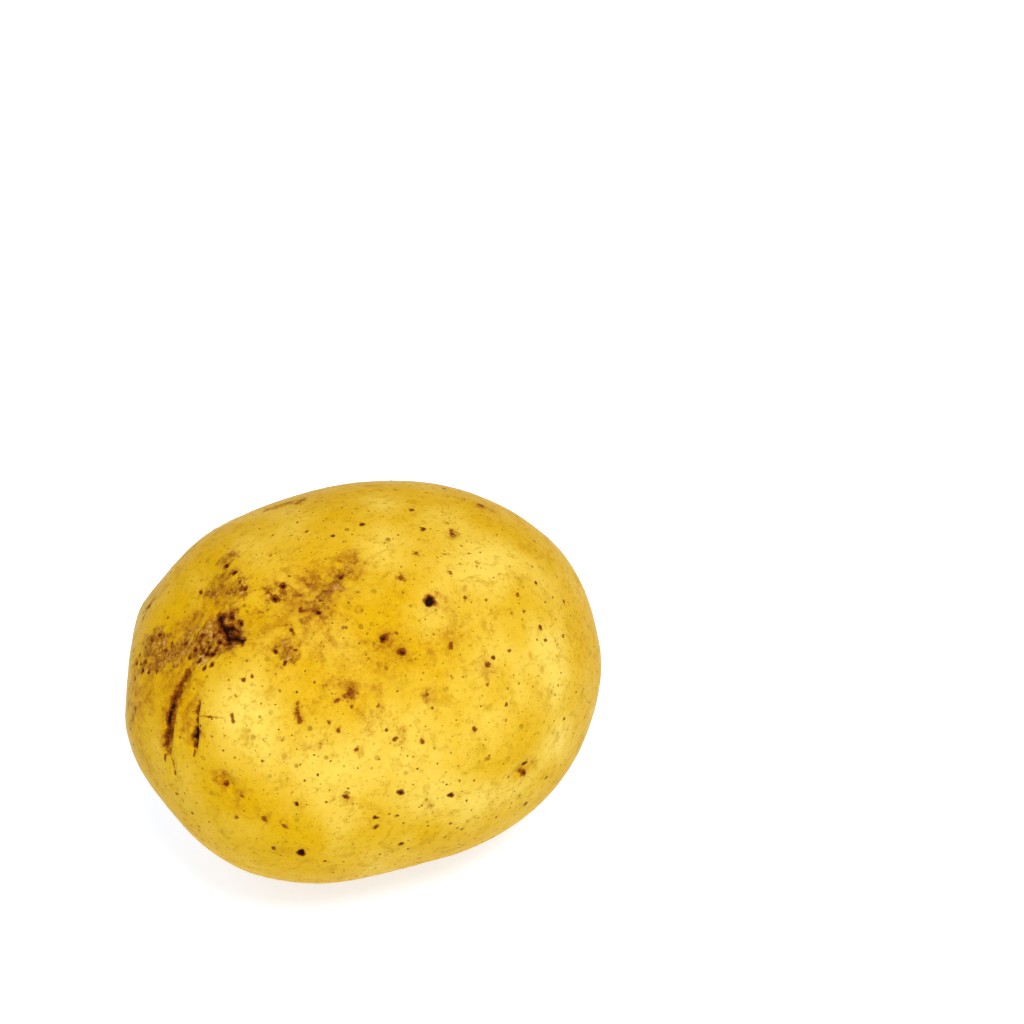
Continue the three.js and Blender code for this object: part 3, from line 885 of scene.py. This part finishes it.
def potato_periderm():
    """Potato periderm, a corky skin a tenth of a millimetre thick that was washed clean. It lets the yellow
    flesh show, shines softly, and is mottled, dotted and patched with brown cork. Its colour also holds
    painted highlights on the broad lit places and painted shade along the left end and the top rim."""
    material, tree = new_material("potato_periderm")
    place = node(tree, "ShaderNodeTexCoord")["Object"]
    pattern = skin_patterns(tree, place)
    dark, stain_and_shade, scurf, pale_and_highlight = (
        node(tree, "ShaderNodeAttribute", attribute_name=name)["Fac"]
        for name in ("dark", "stain_and_shade", "scurf", "pale_and_highlight")
    )

    # Golden skin, paler where it is thinnest and in painted highlights where the light falls most, in
    # clouds of 10 to 20 mm, with a mottle of 1 to 3 mm.
    pale_and_highlight_share = node(tree, "ShaderNodeMath", {0: pale_and_highlight, 1: 0.8, 2: 0.15}, operation="MULTIPLY_ADD")[0]
    clouded_pale_and_highlight = ruffled(tree, pale_and_highlight_share, (pattern["clouds"], 1.4))
    skin = coated(tree, linear("CFA304"), linear("E3C55A"), clouded_pale_and_highlight, 0.0, 1.0)
    skin = coated(tree, skin, linear("B08606"), pattern["mottle"], 0.5, 0.72, 0.6)
    skin = coated(tree, skin, linear("E6C22C"), pattern["grain"], 0.52, 0.72, 0.35)
    skin = coated(tree, skin, linear("A67C06"), pattern["blotch"], 0.46, 0.3, 0.34)

    # Faint lines in the skin.
    skin = coated(tree, skin, linear("A98208"), pattern["lines"], 0.6, 0.72, 0.4)

    # Olive and brown flecks: cells of suberin that are too small to feel, in loose clusters.
    loose = {"Value": pattern["clusters"], "From Min": 0.4, "From Max": 0.62, "To Min": 0.25}
    clustered = node(tree, "ShaderNodeMapRange", loose, interpolation_type="SMOOTHSTEP")[0]
    dotted = {i: flecks(tree, place, cell_mm) for i, cell_mm in enumerate(FLECK_CELLS)}
    dotted = node(tree, "ShaderNodeMath", dotted, operation="MAXIMUM")[0]
    dotted = node(tree, "ShaderNodeMath", {0: dotted, 1: clustered}, operation="MULTIPLY")[0]
    share = node(tree, "ShaderNodeMath", {0: dotted, 1: 0.65}, operation="MULTIPLY")[0]
    skin = node(tree, "ShaderNodeMix", {0: share, 6: skin, 7: linear("7A5A0A")}, data_type="RGBA")[2]

    # Stains, and painted shade along the left end and the top rim, ragged at their edges and blotched
    # inside.
    stained_and_shaded = ruffled(tree, stain_and_shade, (pattern["ragged"], 2.2), (pattern["blotch"], 1.3))
    skin = coated(tree, skin, linear("A56A0C"), stained_and_shaded, 0.2, 1.0, 0.65)
    spotted = ruffled(tree, stained_and_shaded, (pattern["mottle"], 2.0))
    skin = coated(tree, skin, linear("84480E"), spotted, 0.75, 1.25, 0.5)

    # Scurf: a torn crust of tan cork with dark gaps.
    scurfy = ruffled(tree, scurf, (pattern["ragged"], 1.3), (pattern["blotch"], 0.8))
    cork = coated(tree, linear("6A3412"), linear("A8742C"), pattern["crust"], 0.42, 0.54)
    cork = coated(tree, cork, linear("E2B880"), pattern["crust"], 0.55, 0.64)
    skin = coated(tree, skin, cork, scurfy, 0.3, 0.7, 0.66)

    # Dead cork in pits, specks and cracks, brown at the edge and near black at the core.
    dead = ruffled(tree, dark, (pattern["blotch"], 1.1), (pattern["grain"], 0.3))
    skin = coated(tree, skin, linear("7C3C0C"), dead, 0.3, 0.58, 0.85)
    skin = coated(tree, skin, linear("2A1206"), dead, 0.58, 0.95)

    # Relief in millimetres that is too fine for the mesh.
    rise = {"Value": scurfy, "From Min": 0.3, "From Max": 0.7}
    crusted = node(tree, "ShaderNodeMapRange", rise, interpolation_type="SMOOTHSTEP")[0]
    crust = node(tree, "ShaderNodeMath", {0: pattern["crust"], 1: crusted}, operation="MULTIPLY")[0]
    layers = [(pattern["mottle"], 0.06), (pattern["grain"], 0.04), (pattern["lines"], 0.05), (crust, 0.22)]
    relief = 0.0
    for layer, height in layers + [(dotted, -0.02)]:
        relief = node(tree, "ShaderNodeMath", {0: layer, 1: height, 2: relief}, operation="MULTIPLY_ADD")[0]
    uneven = node(tree, "ShaderNodeBump", {"Height": relief, "Distance": MM, "Strength": 1.0})[0]

    # A soft shine, duller in the mottle's high parts and dull in the crust.
    dulled = {"Value": pattern["mottle"], "From Min": 0.3, "From Max": 0.7, "To Min": 0.42, "To Max": 0.55}
    dull = node(tree, "ShaderNodeMapRange", dulled, interpolation_type="SMOOTHSTEP")[0]
    roughness = node(tree, "ShaderNodeMath", {0: crusted, 1: 0.35, 2: dull}, operation="MULTIPLY_ADD")[0]
    shader = node(tree, "ShaderNodeBsdfPrincipled", {
        "Base Color": skin,
        "Roughness": roughness,
        "IOR": 1.45,
        "Specular IOR Level": 0.06,
        "Normal": uneven,
    })[0]
    node(tree, "ShaderNodeOutputMaterial", {"Surface": shader})
    return material


def lenticel_cork():
    """Cork of lenticels, the skin's breathing pores: low dull grains, from olive to dark brown."""
    material, tree = new_material("lenticel_cork")
    tone = node(tree, "ShaderNodeAttribute", attribute_name="tone")["Fac"]
    tones = {0: tone, 6: linear("A67A10"), 7: linear("6C440E")}
    shader = node(tree, "ShaderNodeBsdfPrincipled", {
        "Base Color": node(tree, "ShaderNodeMix", tones, data_type="RGBA")[2],
        "Roughness": 0.75,
        "IOR": 1.4,
    })[0]
    node(tree, "ShaderNodeOutputMaterial", {"Surface": shader})
    return material


def floor_paint():
    """Matt white paint on a smooth board. It is seen through from below, so that the tuber's flat shows."""
    material, tree = new_material("matt_white_paint")
    paint = node(tree, "ShaderNodeBsdfPrincipled", {
        "Base Color": linear("CCD5E8"),
        "Roughness": 0.9,
        "Emission Color": linear("EDF2FF"),
        "Emission Strength": FLOOR_GLOW,
    })[0]
    clear = node(tree, "ShaderNodeBsdfTransparent")[0]
    below = node(tree, "ShaderNodeNewGeometry")["Backfacing"]
    shader = node(tree, "ShaderNodeMixShader", {0: below, 1: paint, 2: clear})[0]
    node(tree, "ShaderNodeOutputMaterial", {"Surface": shader})
    return material


# Lenticels: small grains of cork, scattered over the skin


def lenticel_tree(material):
    """Scatters flattened grains over a surface, more of them the smaller they are."""
    tree = bpy.data.node_groups.new("scattered_lenticels", "GeometryNodeTree")
    face = tree.interface
    face.new_socket("Geometry", in_out="OUTPUT", socket_type="NodeSocketGeometry")
    face.new_socket("Geometry", in_out="INPUT", socket_type="NodeSocketGeometry")
    for name in ("Spacing", "Smallest radius", "Largest radius", "Height share"):
        face.new_socket(name, in_out="INPUT", socket_type="NodeSocketFloat")
    face.new_socket("Seed", in_out="INPUT", socket_type="NodeSocketInt")
    given = node(tree, "NodeGroupInput")

    spread = node(tree, "GeometryNodeDistributePointsOnFaces", {
        "Mesh": given["Geometry"],
        "Distance Min": given["Spacing"],
        "Density Max": LENTICELS_TRIED,
        "Seed": given["Seed"],
    }, distribute_method="POISSON")
    toned = node(tree, "GeometryNodeStoreNamedAttribute", {
        "Geometry": spread["Points"],
        "Name": "tone",
        "Value": node(tree, "FunctionNodeRandomValue", {"Seed": TONE_SEED})["Value"],
    }, data_type="FLOAT", domain="POINT")["Geometry"]

    # Few grains are large, and on the broad side the largest are smaller.
    broad_side = node(tree, "GeometryNodeInputNamedAttribute", {"Name": "shown"})["Attribute"]
    smaller = {0: given["Largest radius"], 1: BROAD_SIDE_SHARE}
    largest = node(tree, "ShaderNodeMapRange", {
        "Value": broad_side,
        "To Min": given["Largest radius"],
        "To Max": node(tree, "ShaderNodeMath", smaller, operation="MULTIPLY")[0],
    })["Result"]
    chance = node(tree, "FunctionNodeRandomValue", {"Seed": given["Seed"]})["Value"]
    radius = node(tree, "ShaderNodeMapRange", {
        "Value": node(tree, "ShaderNodeMath", {0: chance, 1: FEW_LARGE}, operation="POWER")[0],
        "To Min": given["Smallest radius"],
        "To Max": largest,
    })["Result"]

    # Each is stretched a little, in any direction.
    shortest, longest = STRETCH
    stretches = {"Min": shortest, "Max": longest, "Seed": STRETCH_SEED}
    stretch = node(tree, "FunctionNodeRandomValue", stretches)["Value"]
    turns = {"Min": 0.0, "Max": 2 * pi, "Seed": TURN_SEED}
    turn = node(tree, "FunctionNodeRandomValue", turns)["Value"]
    spin = node(tree, "FunctionNodeAxisAngleToRotation", {"Axis": (0, 0, 1), "Angle": turn})[0]
    turned = {"Rotation": spread["Rotation"], "Rotate By": spin}
    size = {
        "X": node(tree, "ShaderNodeMath", {0: radius, 1: stretch}, operation="MULTIPLY")[0],
        "Y": radius,
        "Z": node(tree, "ShaderNodeMath", {0: radius, 1: given["Height share"]}, operation="MULTIPLY")[0],
    }
    ball = node(tree, "GeometryNodeMeshUVSphere", {"Segments": 8, "Rings": 5, "Radius": 1.0})["Mesh"]
    grains = node(tree, "GeometryNodeInstanceOnPoints", {
        "Points": toned,
        "Instance": ball,
        "Rotation": node(tree, "FunctionNodeRotateRotation", turned, rotation_space="LOCAL")[0],
        "Scale": node(tree, "ShaderNodeCombineXYZ", size)[0],
    })["Instances"]
    real = node(tree, "GeometryNodeRealizeInstances", {"Geometry": grains})[0]
    painted = node(tree, "GeometryNodeSetMaterial", {"Geometry": real, "Material": material})[0]
    node(tree, "NodeGroupOutput", {"Geometry": painted})
    return tree


def lenticels_on(tuber, material):
    """The grains of the whole tuber as one plain mesh."""
    tree = lenticel_tree(material)
    values = {
        "Spacing": LENTICEL_SPACING * MM,
        "Smallest radius": SMALLEST_LENTICEL * MM,
        "Largest radius": LARGEST_LENTICEL * MM,
        "Height share": LENTICEL_HEIGHT,
        "Seed": LENTICEL_SEED,
    }
    modifier = tuber.modifiers.new("lenticels", "NODES")
    modifier.node_group = tree
    for item in tree.interface.items_tree:
        if item.in_out == "INPUT" and item.name in values:
            modifier[item.identifier] = values[item.name]
    evaluated = tuber.evaluated_get(bpy.context.evaluated_depsgraph_get())
    mesh = bpy.data.meshes.new_from_object(evaluated)
    tuber.modifiers.remove(modifier)
    mesh.name = "lenticels"
    mesh.shade_smooth()
    lenticels = bpy.data.objects.new("lenticels", mesh)
    bpy.context.scene.collection.objects.link(lenticels)
    return lenticels


# The plain studio


def sight_spot(seat, right, up, towards):
    """A place in metres, given in mm right, up and towards the eye from the tuber's middle."""
    return Vector((seat + np.array([right, up, towards]) @ SIGHT_AXES) * MM)


def photo_camera(seat):
    tilt, turn = photo_camera_turn()
    data = bpy.data.cameras.new("photo_camera")
    data.lens = LENS
    data.sensor_width = SENSOR
    camera = bpy.data.objects.new("photo_camera", data)
    camera.location = sight_spot(seat, 0, 0, EYE_DISTANCE)
    camera.rotation_euler = (pi / 2 - tilt, 0, turn)
    bpy.context.scene.collection.objects.link(camera)
    bpy.context.scene.camera = camera


def key_light(seat):
    """One large round soft box that faces the tuber."""
    data = bpy.data.lights.new("key_light", "AREA")
    data.shape = "DISK"
    data.size = KEY_WIDTH * MM
    data.energy = KEY_WATTS
    light = bpy.data.objects.new("key_light", data)
    light.location = sight_spot(seat, *KEY_PLACE)
    aim = sight_spot(seat, 0, 0, 0) - light.location
    light.rotation_euler = aim.to_track_quat("-Z", "Y").to_euler()
    bpy.context.scene.collection.objects.link(light)


def white_room():
    world = bpy.data.worlds.new("white_room")
    world.use_nodes = True
    walls = world.node_tree.nodes["Background"].inputs
    walls["Color"].default_value = linear("FFFFFF")
    walls["Strength"].default_value = ROOM_LIGHT
    bpy.context.scene.world = world


def floor():
    """A board that ends far outside every view."""
    level = -FLOOR_GAP * MM
    corners = [(x * FLOOR_REACH, y * FLOOR_REACH, level) for x, y in ((-1, -1), (1, -1), (1, 1), (-1, 1))]
    mesh = bpy.data.meshes.new("floor")
    mesh.from_pydata(corners, [], [(0, 1, 2, 3)])
    mesh.materials.append(floor_paint())
    board = bpy.data.objects.new("floor", mesh)
    bpy.context.scene.collection.objects.link(board)


def studio(seat):
    key_light(seat)
    white_room()
    floor()
    photo_camera(seat)
    bpy.context.scene.view_settings.view_transform = "Standard"
    bpy.context.scene.view_settings.look = "Medium High Contrast"


tuber, seat = tuber_object()
lenticels = lenticels_on(tuber, lenticel_cork())
tuber.data.materials.append(potato_periderm())
for piece in (tuber, lenticels):
    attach(piece, "root")
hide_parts(NODE)
studio(seat)
